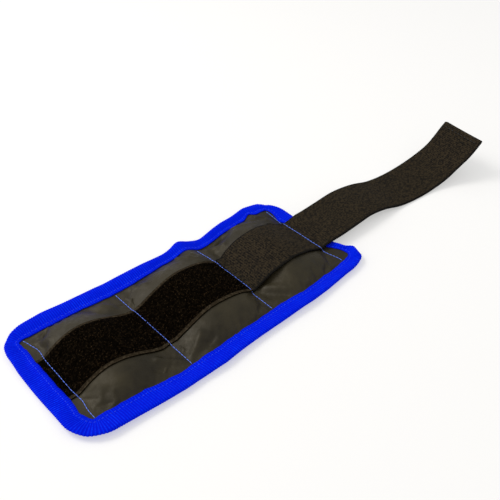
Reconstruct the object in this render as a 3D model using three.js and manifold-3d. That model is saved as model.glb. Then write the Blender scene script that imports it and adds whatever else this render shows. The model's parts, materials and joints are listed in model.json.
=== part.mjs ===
// An ankle cuff weight, laid open with its loop face up and its strap trailing off the right end.
//
// Three weight pockets lie side by side along X. The middle one stays put, and the outer two fold
// down about the seams beside it until the cuff closes round an ankle. The strap is sewn to the right
// pocket and bends at three places, so that it can wrap over the left pocket and land on the loop strip.
//
// Millimetres, +Z up. The origin is the middle of the middle pocket's underside.

import * as THREE from "three";
import Module from "manifold-3d";
import { mergeVertices } from "three/addons/utils/BufferGeometryUtils.js";

// ---- Driving dimensions ----
const POCKET_PITCH = 87; // from one cross seam to the next
const OPEN_WIDTH = 106; // across the cuff, between the two long bindings
const BINDING_WIDTH = 16; // of the folded tape, on each face
const END_MARGIN = 19.5; // from the end seams to the ends of the cuff
const CORNER_RADIUS = 22;
const NEUTRAL_Z = 4.5; // the level of the seams and of the binding above the table
const CROWN = 17.3; // how far a filled pocket bulges above its seams
const CROWN_FLATNESS_X = 2.6; // larger is flatter on top and steeper at the seams
const CROWN_FLATNESS_Y = 2.4;
const CROWN_ROUNDNESS = 0.75; // smaller is fuller beside the seams
const SHEET = 0.7; // cover cloth
const TAPE = 1.0; // binding tape
const GAP = 0.3; // clearance between neighbouring layers
const STRIP_WIDTH = 50.8; // two-inch hook, loop and elastic webbing
const LOOP_THICKNESS = 1.8;
const STRAP_THICKNESS = 2.0;
const HOOK_THICKNESS = 1.4;
const LINER = 0.5;
const LINER_GAP = 0.4; // between cover and liner bag
const MOUTH_WIDTH = 28; // of the slot a liner bag is filled through
const MOUTH_HEIGHT = 1.5;
const THREAD = 0.6;
const THREAD_SIDES = 8;
const THREAD_MARGIN = 1; // from a seam's ends to the bindings, and from its steps to the strips' edges
const HEM_LENGTH = 8;
const HOOK_MARGIN = 1; // of bare webbing round the hook patch

// ---- Sizes that follow from them ----
const HALF_PITCH = POCKET_PITCH / 2;
const END_SEAM_X = POCKET_PITCH + HALF_PITCH;
const HALF_LENGTH = END_SEAM_X + END_MARGIN;
const HALF_OPEN = OPEN_WIDTH / 2;
const HALF_WIDTH = HALF_OPEN + BINDING_WIDTH;
const HALF_STRIP = STRIP_WIDTH / 2;
const COVER_HALF_STACK = GAP / 2 + SHEET; // from the neutral level to a cover's outer face
const BINDING_HALF_STACK = COVER_HALF_STACK + GAP + TAPE;
const FLAT_DROP = NEUTRAL_Z - COVER_HALF_STACK; // how far the inner cover sinks to lie on the table

// ---- Clearances that let the folds move ----
const FOLD_GAP = 1.4; // cloth on the loop face stops this far from a fold line
const INNER_FOLD_GAP = 2.8; // the skin side closes up when the cuff folds, so it stops sooner
const BINDING_FOLD_GAP = 2.9; // the thicker binding needs more
const COVER_INSET = 2; // from the cover's raw edge to the outside of the binding
const STRAP_BEND_GAP = 1.5;

// ---- Grid lines of a pocket, from its middle outwards ----
const TAPER = 8; // the underside rises to the seams over this length
const SIDE_TAPER = 7; // and to the bindings over this one
const POCKET_X = mirrored([0, 13, 26, HALF_PITCH - TAPER]);
const POCKET_Y = mirrored([0, HALF_STRIP / 2, HALF_STRIP, 36, HALF_OPEN - SIDE_TAPER]);
const STRIP_Y = mirrored([0, HALF_STRIP / 2, HALF_STRIP]);
const COVER_Y = [
  -HALF_WIDTH + COVER_INSET,
  -HALF_OPEN,
  ...POCKET_Y,
  HALF_OPEN,
  HALF_WIDTH - COVER_INSET,
];

// ---- The strap's lie on the table: how far past the right end seam, how far aside, how high ----
const STRAP_START_Z = NEUTRAL_Z + COVER_HALF_STACK + GAP + STRAP_THICKNESS / 2;
const STRAP_ON_BINDING_Z = NEUTRAL_Z + BINDING_HALF_STACK + GAP + STRAP_THICKNESS / 2;
const STRAP_LIE = [
  [0, 0, STRAP_START_Z],
  [3, 0, STRAP_ON_BINDING_Z + 0.15], // climbs onto the end binding
  [22, 1, 9.6], // leaves it
  [46, 2, 11.2],
  [70, 3, 12], // crest of the free arch
  [93, 2, 9],
  [117, 1, 2.8],
  [140, -1, 1.5], // touches the table
  [163, -3, 3.4],
  [187, -6, 10.6],
  [207, -10, 25],
  [225, -14, 40], // tip, curled up
];
const STRAP_BENDS = [22.5, 82, 180]; // places along the strap where its links meet
const STRAP_STEP = 7; // length of one facet
const CLIMB = 3.3; // length of strap between the end seam and the binding

const wasm = await Module();
wasm.setup();

// ---- Small tools ----

function mirrored(values) {
  const others = values.filter((v) => v !== 0);
  return [...others.map((v) => -v).reverse(), ...values];
}

function finish(name, positions, indices, material) {
  const geometry = new THREE.BufferGeometry();
  geometry.setAttribute("position", new THREE.Float32BufferAttribute(positions, 3));
  geometry.setIndex(indices);
  geometry.computeVertexNormals();
  return named(name, geometry, material);
}

function named(name, geometry, material) {
  const mesh = new THREE.Mesh(geometry, material);
  mesh.name = name;
  return mesh;
}

function cloth(color, roughness) {
  return new THREE.MeshStandardMaterial({ color, roughness, metalness: 0 });
}

// A slab between two height fields over a grid of x and y. place moves a grid point in plan.
function slab(xs, ys, low, high, place = (x, y) => [x, y]) {
  const positions = [];
  const indices = [];
  const columns = ys.length;
  const layer = xs.length * columns;
  for (const height of [high, low]) {
    for (const x of xs) {
      for (const y of ys) positions.push(...place(x, y), height(x, y));
    }
  }
  const quad = (a, b, c, d) => indices.push(a, b, c, a, c, d);
  const at = (i, j) => i * columns + j;
  for (let i = 0; i + 1 < xs.length; i++) {
    for (let j = 0; j + 1 < columns; j++) {
      quad(at(i, j), at(i + 1, j), at(i + 1, j + 1), at(i, j + 1));
      quad(layer + at(i, j), layer + at(i, j + 1), layer + at(i + 1, j + 1), layer + at(i + 1, j));
    }
  }
  for (let i = 0; i + 1 < xs.length; i++) {
    const last = columns - 1;
    quad(at(i, 0), layer + at(i, 0), layer + at(i + 1, 0), at(i + 1, 0));
    quad(at(i + 1, last), layer + at(i + 1, last), layer + at(i, last), at(i, last));
  }
  for (let j = 0; j + 1 < columns; j++) {
    const last = xs.length - 1;
    quad(at(0, j + 1), layer + at(0, j + 1), layer + at(0, j), at(0, j));
    quad(at(last, j), layer + at(last, j), layer + at(last, j + 1), at(last, j + 1));
  }
  return { positions, indices };
}

// A solid whose closed outline is carried through a list of rings, each with the same corner count.
function loft(rings) {
  const corners = rings[0].length;
  const positions = rings.flat().flatMap((p) => [p.x, p.y, p.z]);
  const indices = [];
  for (let i = 0; i + 1 < rings.length; i++) {
    for (let k = 0; k < corners; k++) {
      const a = i * corners + k;
      const b = i * corners + ((k + 1) % corners);
      indices.push(a, b, b + corners, a, b + corners, a + corners);
    }
  }
  return { positions, indices, corners };
}

function toManifold({ positions, indices }) {
  const plain = new THREE.BufferGeometry();
  plain.setAttribute("position", new THREE.Float32BufferAttribute(positions, 3));
  plain.setIndex(indices);
  const merged = mergeVertices(plain);
  return new wasm.Manifold(
    new wasm.Mesh({
      numProp: 3,
      vertProperties: merged.attributes.position.array,
      triVerts: Uint32Array.from(merged.index.array),
    }),
  );
}

function fromManifold(name, solid, material) {
  const mesh = solid.getMesh();
  return finish(name, Array.from(mesh.vertProperties), Array.from(mesh.triVerts), material);
}

// ---- The filled pocket's shape ----

// How far the loop face bulges at x from the pocket's middle and y from the cuff's centreline.
function crownAt(x, y) {
  const u = Math.min(Math.abs(x) / HALF_PITCH, 1);
  const v = Math.min(Math.abs(y) / HALF_OPEN, 1);
  const along = Math.pow(1 - Math.pow(u, CROWN_FLATNESS_X), CROWN_ROUNDNESS);
  const across = Math.pow(1 - Math.pow(v, CROWN_FLATNESS_Y), CROWN_ROUNDNESS);
  return CROWN * along * across;
}

// How far the skin side sinks: flat on the table, rising to the seams over the taper.
function sinkAt(x, y) {
  const fromSeam = Math.max(HALF_PITCH - Math.abs(x), 0);
  const fromBinding = Math.max(HALF_OPEN - Math.abs(y), 0);
  return FLAT_DROP * Math.min(1, fromSeam / TAPER, fromBinding / SIDE_TAPER);
}

// Rounds the cover's outer corners, so that they stay inside the binding.
function roundCorner(x, y) {
  const radius = CORNER_RADIUS - COVER_INSET;
  const dx = Math.max(Math.abs(x) - (HALF_LENGTH - CORNER_RADIUS), 0);
  const dy = Math.max(Math.abs(y) - (HALF_WIDTH - CORNER_RADIUS), 0);
  const nx = dx * Math.sqrt(1 - (dy * dy) / (2 * radius * radius));
  const ny = dy * Math.sqrt(1 - (dx * dx) / (2 * radius * radius));
  return [x - Math.sign(x) * (dx - nx), y - Math.sign(y) * (dy - ny)];
}

// Grid lines along one pocket's covers. side is -1 for the left pocket, 0 middle and +1 right.
function coverStations(side, foldGap) {
  const fold = HALF_PITCH - foldGap;
  if (side === 0) return [-fold, ...POCKET_X, fold];
  const outer = END_SEAM_X - POCKET_PITCH;
  const raw = HALF_LENGTH - POCKET_PITCH - COVER_INSET;
  const middleOfMargin = (outer + raw) / 2;
  const rightwards = [-fold, ...POCKET_X, outer, middleOfMargin, raw];
  return side === 1 ? rightwards : rightwards.map((x) => -x).reverse();
}

// ---- Sub-parts of a pocket ----

function outerCover(name, side, material) {
  const centre = side * POCKET_PITCH;
  const xs = coverStations(side, FOLD_GAP).map((x) => x + centre);
  const low = (x, y) => NEUTRAL_Z + GAP / 2 + crownAt(x - centre, y);
  const high = (x, y) => low(x, y) + SHEET;
  const { positions, indices } = slab(xs, COVER_Y, low, high, roundCorner);
  return finish(name, positions, indices, material);
}

function innerCover(name, side, material) {
  const centre = side * POCKET_PITCH;
  const xs = coverStations(side, INNER_FOLD_GAP).map((x) => x + centre);
  const high = (x, y) => NEUTRAL_Z - GAP / 2 - sinkAt(x - centre, y);
  const low = (x, y) => high(x, y) - SHEET;
  const { positions, indices } = slab(xs, COVER_Y, low, high, roundCorner);
  return finish(name, positions, indices, material);
}

// The space inside a pocket, drawn in from the covers by inset.
function pocketFilling(side, inset) {
  const centre = side * POCKET_PITCH;
  const drawIn = (x, y) => [
    centre + x - Math.sign(x) * (Math.abs(x) === POCKET_X.at(-1) ? inset : 0),
    y - Math.sign(y) * (Math.abs(y) === POCKET_Y.at(-1) ? inset : 0),
  ];
  const high = (x, y) => NEUTRAL_Z + GAP / 2 - inset + crownAt(x, y);
  const low = (x, y) => NEUTRAL_Z - GAP / 2 + inset - sinkAt(x, y);
  return slab(POCKET_X, POCKET_Y, low, high, drawIn);
}

// A thin bag round the fill, open at the filling mouth in its far side.
function linerBag(name, side, material) {
  const centre = side * POCKET_PITCH;
  const mouth = slab(
    [centre - MOUTH_WIDTH / 2, centre + MOUTH_WIDTH / 2],
    [HALF_OPEN / 2, HALF_OPEN],
    () => NEUTRAL_Z,
    () => NEUTRAL_Z + MOUTH_HEIGHT,
  );
  const bag = toManifold(pocketFilling(side, LINER_GAP));
  const hollow = toManifold(pocketFilling(side, LINER_GAP + LINER));
  return fromManifold(name, bag.subtract(hollow).subtract(toManifold(mouth)), material);
}

function ironSand(name, side, material) {
  const { positions, indices } = pocketFilling(side, LINER_GAP + LINER + GAP);
  return finish(name, positions, indices, material);
}

// ---- Binding tape, folded round the raw edges ----

// The tape's section: a C open towards the cuff. depth runs inwards from the outer edge.
function bindingSection() {
  const outside = BINDING_HALF_STACK;
  const inside = COVER_HALF_STACK + GAP;
  const width = BINDING_WIDTH - GAP;
  return [
    [0, outside],
    [width, outside],
    [width, inside],
    [TAPE, inside],
    [TAPE, -inside],
    [width, -inside],
    [width, -outside],
    [0, -outside],
  ];
}

// edge lists points on the cuff's outline, each with the direction that points into the cuff.
function binding(name, edge, material) {
  const section = bindingSection();
  const rings = edge.map(({ x, y, inX, inY }) =>
    section.map(([depth, z]) => new THREE.Vector3(x + inX * depth, y + inY * depth, NEUTRAL_Z + z)),
  );
  const { positions, indices, corners } = loft(rings);
  const outline = section.map(([depth, z]) => new THREE.Vector2(depth, z));
  const last = (rings.length - 1) * corners;
  for (const [a, b, c] of THREE.ShapeUtils.triangulateShape(outline, [])) {
    indices.push(a, b, c, last + c, last + b, last + a);
  }
  return finish(name, positions, indices, material);
}

// The outline round one end of the cuff, from the near fold line to the far one on the left, and
// from the far one to the near one on the right, so that the cuff is always on the same hand.
function endOutline(side) {
  const start = HALF_PITCH + BINDING_FOLD_GAP;
  const cx = HALF_LENGTH - CORNER_RADIUS;
  const cy = HALF_WIDTH - CORNER_RADIUS;
  const steps = 6;
  const quarter = (from) => {
    const points = [];
    for (let k = 0; k <= steps; k++) points.push(from - (k / steps) * (Math.PI / 2));
    return points;
  };
  const onCorner = (sign) => (angle) => ({
    x: cx + CORNER_RADIUS * Math.cos(angle),
    y: sign * cy + CORNER_RADIUS * Math.sin(angle),
    inX: -Math.cos(angle),
    inY: -Math.sin(angle),
  });
  const right = [
    { x: start, y: HALF_WIDTH, inX: 0, inY: -1 },
    ...quarter(Math.PI / 2).map(onCorner(1)),
    ...quarter(0).map(onCorner(-1)),
    { x: start, y: -HALF_WIDTH, inX: 0, inY: 1 },
  ];
  if (side === 1) return right;
  return right.map((p) => ({ x: -p.x, y: -p.y, inX: -p.inX, inY: -p.inY }));
}

function sideOutline(sign) {
  const reach = HALF_PITCH - BINDING_FOLD_GAP;
  return [-1, 1].map((end) => ({ x: sign * end * reach, y: sign * HALF_WIDTH, inX: 0, inY: -sign }));
}

// ---- Loop strip and strap ----

// The loop strip lies on the outer cover, from seam to seam of one pocket.
function loopStrip(name, side, material) {
  const centre = side * POCKET_PITCH;
  const fold = HALF_PITCH - FOLD_GAP;
  const underBinding = -(HALF_LENGTH - POCKET_PITCH - BINDING_WIDTH - GAP);
  const local = side === 0 ? [-fold, ...POCKET_X, fold] : [underBinding, -HALF_PITCH, ...POCKET_X, fold];
  const low = (x, y) => NEUTRAL_Z + COVER_HALF_STACK + GAP + crownAt(x - centre, y);
  const high = (x, y) => low(x, y) + LOOP_THICKNESS;
  const { positions, indices } = slab(local.map((x) => x + centre), STRIP_Y, low, high);
  return finish(name, positions, indices, material);
}

const strapCurve = new THREE.CatmullRomCurve3(
  STRAP_LIE.map(([x, y, z]) => new THREE.Vector3(END_SEAM_X + x, y, z)),
  false,
  "centripetal",
);
strapCurve.arcLengthDivisions = 2000;
const STRAP_LENGTH = strapCurve.getLength();

// The strap's middle line, width direction and upward direction at a length along it.
function strapFrame(along) {
  const t = THREE.MathUtils.clamp(along / STRAP_LENGTH, 0, 1);
  const point = strapCurve.getPointAt(t);
  const tangent = strapCurve.getTangentAt(t);
  const across = new THREE.Vector3(-tangent.y, tangent.x, 0).normalize();
  const up = new THREE.Vector3().crossVectors(tangent, across);
  return { point, across, up };
}

// One link of webbing between two lengths along the strap, from low to high off its middle line.
function webbing(from, to, low, high, halfWidth) {
  const facets = Math.max(2, Math.round((to - from) / STRAP_STEP));
  const rings = [];
  for (let k = 0; k <= facets; k++) {
    rings.push(webbingRing(strapFrame(from + ((to - from) * k) / facets), low, high, halfWidth));
  }
  return rings;
}

function webbingRing({ point, across, up }, low, high, halfWidth) {
  const corner = (w, h) => point.clone().addScaledVector(across, w).addScaledVector(up, h);
  return [
    corner(-halfWidth, low),
    corner(halfWidth, low),
    corner(halfWidth, high),
    corner(-halfWidth, high),
  ];
}

function capped(name, rings, material) {
  const { positions, indices, corners } = loft(rings);
  const last = (rings.length - 1) * corners;
  for (let k = 1; k + 1 < corners; k++) {
    indices.push(0, k + 1, k, last, last + k, last + k + 1);
  }
  return finish(name, positions, indices, material);
}

// The part of the strap that is sewn down: over the right pocket's crown and out to the first bend.
function strapAnchor(name, material) {
  const half = STRAP_THICKNESS / 2;
  const across = new THREE.Vector3(0, 1, 0);
  const up = new THREE.Vector3(0, 0, 1);
  const rings = [-HALF_PITCH + FOLD_GAP, ...POCKET_X, HALF_PITCH].map((x) => {
    const point = new THREE.Vector3(x + POCKET_PITCH, 0, STRAP_START_Z + crownAt(x, 0));
    return webbingRing({ point, across, up }, -half, half, HALF_STRIP);
  });
  const beyondSeam = webbing(CLIMB, STRAP_BENDS[0] - STRAP_BEND_GAP, -half, half, HALF_STRIP);
  return capped(name, [...rings, ...beyondSeam], material);
}

function strapLink(name, from, to, material) {
  const half = STRAP_THICKNESS / 2;
  return capped(name, webbing(from, to, -half, half, HALF_STRIP), material);
}

// The last link, with its end folded under as a hem.
function strapTip(name, material) {
  const half = STRAP_THICKNESS / 2;
  const hemStart = STRAP_LENGTH - HEM_LENGTH;
  const flat = webbing(STRAP_BENDS[2] + STRAP_BEND_GAP, hemStart - GAP, -half, half, HALF_STRIP);
  const hem = webbing(hemStart, STRAP_LENGTH, -3 * half, half, HALF_STRIP);
  return capped(name, [...flat, ...hem], material);
}

function hookPatch(name, material) {
  const top = -STRAP_THICKNESS / 2 - 2 * GAP; // facets of the two curves need more than one gap
  const from = STRAP_BENDS[2] + 2 * STRAP_BEND_GAP;
  const to = STRAP_LENGTH - HEM_LENGTH - HOOK_MARGIN;
  return capped(name, webbing(from, to, top - HOOK_THICKNESS, top, HALF_STRIP - HOOK_MARGIN), material);
}

// ---- Sewing thread ----

// The thread of an end seam lies just outside the pocket and climbs over whatever crosses it.
function endSeamThread(name, side, stripThickness, material) {
  const base = NEUTRAL_Z + COVER_HALF_STACK + GAP;
  const over = base + stripThickness + GAP;
  const outer = HALF_OPEN - THREAD_MARGIN;
  const step = HALF_STRIP + THREAD_MARGIN;
  const band = new THREE.Shape();
  band.moveTo(-outer, base);
  band.lineTo(-step, base);
  band.lineTo(-step, over);
  band.lineTo(step, over);
  band.lineTo(step, base);
  band.lineTo(outer, base);
  band.lineTo(outer, base + THREAD);
  band.lineTo(step + THREAD, base + THREAD);
  band.lineTo(step + THREAD, over + THREAD);
  band.lineTo(-step - THREAD, over + THREAD);
  band.lineTo(-step - THREAD, base + THREAD);
  band.lineTo(-outer, base + THREAD);
  band.closePath();
  const geometry = new THREE.ExtrudeGeometry(band, { depth: THREAD, bevelEnabled: false });
  const mesh = named(name, geometry, material);
  mesh.rotation.set(Math.PI / 2, Math.PI / 2, 0);
  mesh.position.x = side === 1 ? END_SEAM_X : -END_SEAM_X - THREAD;
  return mesh;
}

// The thread of a fold seam lies on the fold line itself.
function foldSeamThread(name, side, material) {
  const length = OPEN_WIDTH - 2 * THREAD_MARGIN;
  const geometry = new THREE.CylinderGeometry(THREAD / 2, THREAD / 2, length, THREAD_SIDES);
  const thread = named(name, geometry, material);
  thread.position.set(side * HALF_PITCH, 0, NEUTRAL_Z);
  return thread;
}

// ---- Materials ----
const coverCloth = cloth(0x33302c, 0.55);
const bindingTape = cloth(0x0622d2, 0.7);
const loopPile = cloth(0x14110f, 0.95);
const elastic = cloth(0x1c1714, 0.85);
const hookPile = cloth(0x181513, 0.8);
const linerFilm = cloth(0xb9bcbc, 0.5);
const sand = cloth(0x4a4644, 0.9);
const blueThread = cloth(0x7d96e6, 0.7);

// ---- Assembly ----
const cuff = new THREE.Group();
const pockets = [
  ["left", -1],
  ["middle", 0],
  ["right", 1],
];
for (const [word, side] of pockets) {
  cuff.add(outerCover(`outer_cover_${word}`, side, coverCloth));
  cuff.add(innerCover(`inner_cover_${word}`, side, coverCloth));
  cuff.add(linerBag(`liner_bag_${word}`, side, linerFilm));
  cuff.add(ironSand(`iron_sand_${word}`, side, sand));
}
cuff.add(binding("binding_left_end", endOutline(-1), bindingTape));
cuff.add(binding("binding_right_end", endOutline(1), bindingTape));
cuff.add(binding("binding_middle_far", sideOutline(1), bindingTape));
cuff.add(binding("binding_middle_near", sideOutline(-1), bindingTape));
cuff.add(loopStrip("loop_strip_left", -1, loopPile));
cuff.add(loopStrip("loop_strip_middle", 0, loopPile));
cuff.add(strapAnchor("strap_anchor", elastic));
const [bendA, bendB, bendC] = STRAP_BENDS;
cuff.add(strapLink("strap_root", bendA + STRAP_BEND_GAP, bendB - STRAP_BEND_GAP, elastic));
cuff.add(strapLink("strap_middle", bendB + STRAP_BEND_GAP, bendC - STRAP_BEND_GAP, elastic));
cuff.add(strapTip("strap_tip", elastic));
cuff.add(hookPatch("hook_patch", hookPile));
cuff.add(endSeamThread("seam_thread_left_end", -1, LOOP_THICKNESS, blueThread));
cuff.add(foldSeamThread("seam_thread_left_fold", -1, blueThread));
cuff.add(foldSeamThread("seam_thread_right_fold", 1, blueThread));
cuff.add(endSeamThread("seam_thread_right_end", 1, STRAP_THICKNESS + GAP, blueThread)); // the strap climbs

export default cuff;
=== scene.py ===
"""An ankle cuff weight, laid open, built round its CAD frame.

Lengths below are millimetres unless a name says otherwise, and turn into metres when a mesh is made.
The cuff is worked out on a flat map: u runs along the cuff and v across it, and plan() and level()
say where a point of the map lies on the table. A cloth simulation then fills the pockets.
"""

import json
import math

import bpy
import numpy as np
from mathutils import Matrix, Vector
from mathutils.bvhtree import BVHTree


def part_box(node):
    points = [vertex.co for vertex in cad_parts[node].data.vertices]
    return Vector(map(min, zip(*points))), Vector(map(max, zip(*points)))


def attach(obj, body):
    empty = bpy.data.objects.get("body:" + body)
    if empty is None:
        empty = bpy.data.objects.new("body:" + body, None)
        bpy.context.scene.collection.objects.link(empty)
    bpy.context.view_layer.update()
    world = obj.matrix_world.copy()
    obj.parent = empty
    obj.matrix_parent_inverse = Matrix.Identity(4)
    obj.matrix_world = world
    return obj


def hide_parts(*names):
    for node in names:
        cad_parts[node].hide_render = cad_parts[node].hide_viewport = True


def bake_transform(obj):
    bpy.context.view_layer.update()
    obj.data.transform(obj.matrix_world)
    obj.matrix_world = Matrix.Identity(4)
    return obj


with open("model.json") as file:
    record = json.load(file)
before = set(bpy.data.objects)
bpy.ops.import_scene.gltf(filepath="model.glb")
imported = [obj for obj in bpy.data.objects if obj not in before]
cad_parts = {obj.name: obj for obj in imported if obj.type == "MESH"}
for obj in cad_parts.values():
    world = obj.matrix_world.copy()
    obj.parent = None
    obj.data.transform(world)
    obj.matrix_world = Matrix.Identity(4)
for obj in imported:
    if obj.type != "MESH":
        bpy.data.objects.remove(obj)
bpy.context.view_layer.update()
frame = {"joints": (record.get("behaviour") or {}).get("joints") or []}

MM = 0.001
RANDOM = np.random.default_rng(7)

# ---- Sizes taken from the frame ----


def box(node):
    low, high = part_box(node)
    return np.array(low) / MM, np.array(high) / MM


def joint(name):
    return next(j for j in frame["joints"] if j["name"] == name)


FOLD_U = joint("right_pocket_fold")["pos_m"][0] / MM
NEUTRAL_Z = joint("right_pocket_fold")["pos_m"][2] / MM
HALF_LENGTH, HALF_WIDTH = box("binding_right_end")[1][:2]
END_SEAM = box("seam_thread_right_end")[0][0]
LAYER_GAP = 0.3  # between touching layers of the CAD
OPEN_V = box("binding_middle_far")[0][1] - LAYER_GAP
HALF_STRIP = box("loop_strip_left")[1][1]

# ---- Cloth ----

RIB_PITCH = 2.0
STRAP_RIB_PITCH = 1.9
STATIONS_PER_RIB = 4
STRAP_STATION = STRAP_RIB_PITCH / STATIONS_PER_RIB
SHEET = 0.5
HALF_SEAM = 0.6  # half the thickness where the two covers are sewn together
TAPE = 0.8
RAW_INSET = 2.5  # from the binding's outer edge to the covers' raw edge
TAPE_WIDTH = HALF_WIDTH - OPEN_V
OPEN_U = HALF_LENGTH - TAPE_WIDTH
CORNER_RADIUS = {(-1, 1): 27, (-1, -1): 24, (1, 1): 28, (1, -1): 4}
INNER_CORNER = 3.5
SIDES = {"left": -1, "right": 1}

# ---- How the cuff lies: each bump is where, how much and how wide ----

# How far each edge of the binding stands out from its straight line: tables of (place, distance)
FAR_OUT = [
    (-150, 0), (-125, 2.4), (-105, 3.6), (-85, 1.4), (-65, 0.5), (-45, -0.2), (-5, -0.9), (5, -2.0),
    (15, -2.6), (25, -1.9), (34, -0.4), (45, -3.6), (55, -5.8), (65, -5.1), (75, -3.2), (95, -1.8),
    (115, -2.0), (125, -3.5), (140, -5.5),
]
FAR_IN = [
    (-150, 2), (-125, 2.8), (-105, 1.7), (-85, 1.5), (-65, 0), (-45, -0.8), (-25, -0.8), (-5, 0.8),
    (5, 2.0), (25, 2.4), (35, 1.8), (45, -2.0), (55, -1.6), (65, -0.8), (75, 1.0), (94, 1.4),
    (99, 2.6), (104, 0.0), (109, 1.8), (114, 6.0), (118, -1.2), (127, -0.6), (133, -2.0),
]
NEAR_OUT = [
    (-150, -1), (-125, 1.0), (-105, 2.2), (-85, 3.7), (-65, 4.8), (-45, 4.4), (-25, 5.0), (-5, 2.8),
    (15, 1.6), (55, 0.8), (75, 0.8), (95, -0.8), (115, -3.4), (123, -4.3), (133, -4.9), (140, -6.6),
    (146, -9.2), (152, -11.8),
]
NEAR_IN = [
    (-150, -3), (-125, -2.2), (-105, -1.6), (-85, 0.4), (-65, 3.6), (-55, 4.6), (-45, 3.0), (-25, 3.4),
    (-5, 2.0), (35, 0.6), (55, -0.2), (75, 2.2), (95, 0.4), (115, -1.0), (135, -3.5),
]
RIGHT_OUT = [
    (-69, 0.8), (-52, 3.0), (-46.5, 5.0), (-42, -1.4), (-35, -2.0), (-29, -4.2), (0, -4.6), (30, -3.8),
    (42, -5), (50, -7), (60, -9), (69, -9),
]
RIGHT_IN = [
    (-57, -1), (-52, 5.0), (-47, 8.8), (-41, 8.6), (-34, 6.6), (-25, 2.5), (0, -1), (24, 1),
    (33, -4), (40, -2.2), (46, -0.6), (53, -2),
]
LEFT_OUT = [(-69, 2.4), (-50, 1.6), (0, 1.5), (25, 1.0), (35, 0.1), (50, -0.8), (69, 0)]
LEFT_IN = [(-50, 0), (-40, 3.6), (-25, 2), (10, 2.2), (32, 3.6), (42, 2.5), (53, 0.5)]
END_SEAM_SHIFT = {-1: [(54, -1.6, 5), (34, 2.4, 9), (15, 1.2, 40), (-31, 1.8, 8)], 1: [(-50, 3.4, 14)]}
FAR_EDGE_RISE = [(34, 3.8, 9), (56, -1.6, 8), (86, 1.4, 10), (113, 3.2, 14)]
NEAR_EDGE_RISE = [(-20, 0.6, 25), (70, 0.8, 20)]
CORNER_RISE = [(-140, -60, 1.2, 30), (140, 56, 4.5, 24), (148, -48, 1.5, 16), (-148, 0, -2.2, 40)]
FOLD_SEAM_RISE = {-1: [(0, -1.8, 60)], 1: [(27, 3.2, 15), (-40, -1.6, 11)]}
TABLE_GAP = 0.45  # the covers' least height over the table
UNDER_EDGE = 1.05  # and along the binding, which closes under them
EDGE_FLARE = 0.1  # the binding's outer edge lifts off the table
INNER_DROP = 2.4  # and its inner edge sinks
FILL = [  # how far the filling stands above the seams, along the cuff's middle line
    (-131, 0), (-127, 0.8), (-120, 5.4), (-113, 9.6), (-107, 12.6), (-100, 14.4), (-92, 14.4),
    (-83, 12.4), (-73, 8.6), (-62, 2.7), (-54, 0.4), (-44, 0), (-38, 0.2), (-34, 1.5), (-28, 5.4),
    (-22, 8.6), (-13, 12.3), (-4, 14.4), (6, 14.4), (18, 12.3), (30, 8.6), (36, 5.4), (43, 0), (49, 0.2),
    (55, 1.0), (63, 4.4), (69, 8.4), (80, 14.2), (92, 14.8), (104, 11.9), (118, 6.3), (125, 2.0), (130, 0),
]
STRIP_ARCH = [  # height of the loop strip where it stands clear of the covers
    (-137, 3.2), (-131, 3.4), (-127, 4.2), (-120, 8.2), (-113, 11.8), (-107, 14.4), (-100, 16.0),
    (-92, 16.0), (-83, 14.3), (-73, 11.0), (-62, 5.8), (-54, 3.0), (-44, 2.2), (-38, 3.0), (-34, 4.8),
    (-28, 8.2), (-22, 11.0), (-13, 14.2), (-4, 16.0), (6, 16.0), (18, 14.2), (30, 11.0), (36, 8.8),
    (44, 5.4),
]
STRAP_ARCH = [  # and of the strap over the last pocket
    (43, 4.4), (49, 5.0), (55, 8.0), (63, 12.5), (69, 15.4), (80, 17.1), (92, 17.0), (104, 14.3),
    (118, 9.5), (126, 6.0), (130.5, 4.6),
]
CREASES = [  # from u, v to u, v, then height and width
    (-46, -46, -66, -34, 1.7, 3.0), (-50, -51, -72, -42, -1.3, 3.0), (-40, -47, -23, -36, 1.6, 3.0),
    (-36, -50, -16, -44, -1.3, 3.0), (-63, 43, -59, 39, 1.8, 7.0), (-75, 46, -70, 36, -1.1, 5.0),
    (-121, 38, -119, 35, 2.0, 4.5), (-127, 34, -115, 46, -1.4, 3.2), (-118, -50, -112, -40, -1.4, 4.0),
    (50, -31, 63, -49, -1.5, 4.0), (57, -30, 70, -46, 1.3, 4.0), (52, 46, 66, 38, 1.6, 3.5),
    (58, 50, 78, 45, -1.4, 3.5), (88, 50, 96, 42, 1.2, 4.0), (124, -38, 112, -50, -1.2, 3.5),
    (-30, 48, -22, 40, 1.2, 4.0), (20, 49, 27, 40, 1.5, 3.5), (12, -50, 18, -42, -1.0, 3.5),
]
CREASE_STRENGTH = 1.35
SEAM_FADE = 5  # creases die out over this far from a seam
EDGE_FADE = 1.5  # how fast an edge's unevenness dies out towards the cuff's middle
END_REACH = 3.5  # the ends' own tables take over this far past an end seam
SEAM_REACH = 12  # a shifted end seam takes the cloth along over this far
LEFT_FOLD_SHIFT, LEFT_FOLD_REACH = 2.0, 15
RISE_FROM, RISE_OVER = 20, 28  # the edges' rises begin this far from the middle line, and take this long
FOLD_RISE_REACH = 9
BLEND = 6.0  # cloth turns with a fold over this far on each side of it


def bell(t, centre, width):
    return np.exp(-(((t - centre) / width) ** 2))


def bumps(t, entries):
    return sum(height * bell(t, centre, width) for centre, height, width in entries)


def profile(u, table, blur=2.0):
    """A smooth line through a table of (place, height)."""
    at, height = np.array(table, float).T
    offsets = np.linspace(-2, 2, 9) * blur
    weights = np.exp(-0.5 * (offsets / blur) ** 2)
    spread = np.interp(np.asarray(u)[..., None] + offsets, at, height)
    return (spread * weights).sum(-1) / weights.sum()


def smooth(t):
    t = np.clip(t, 0, 1)
    return t * t * (3 - 2 * t)


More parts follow.
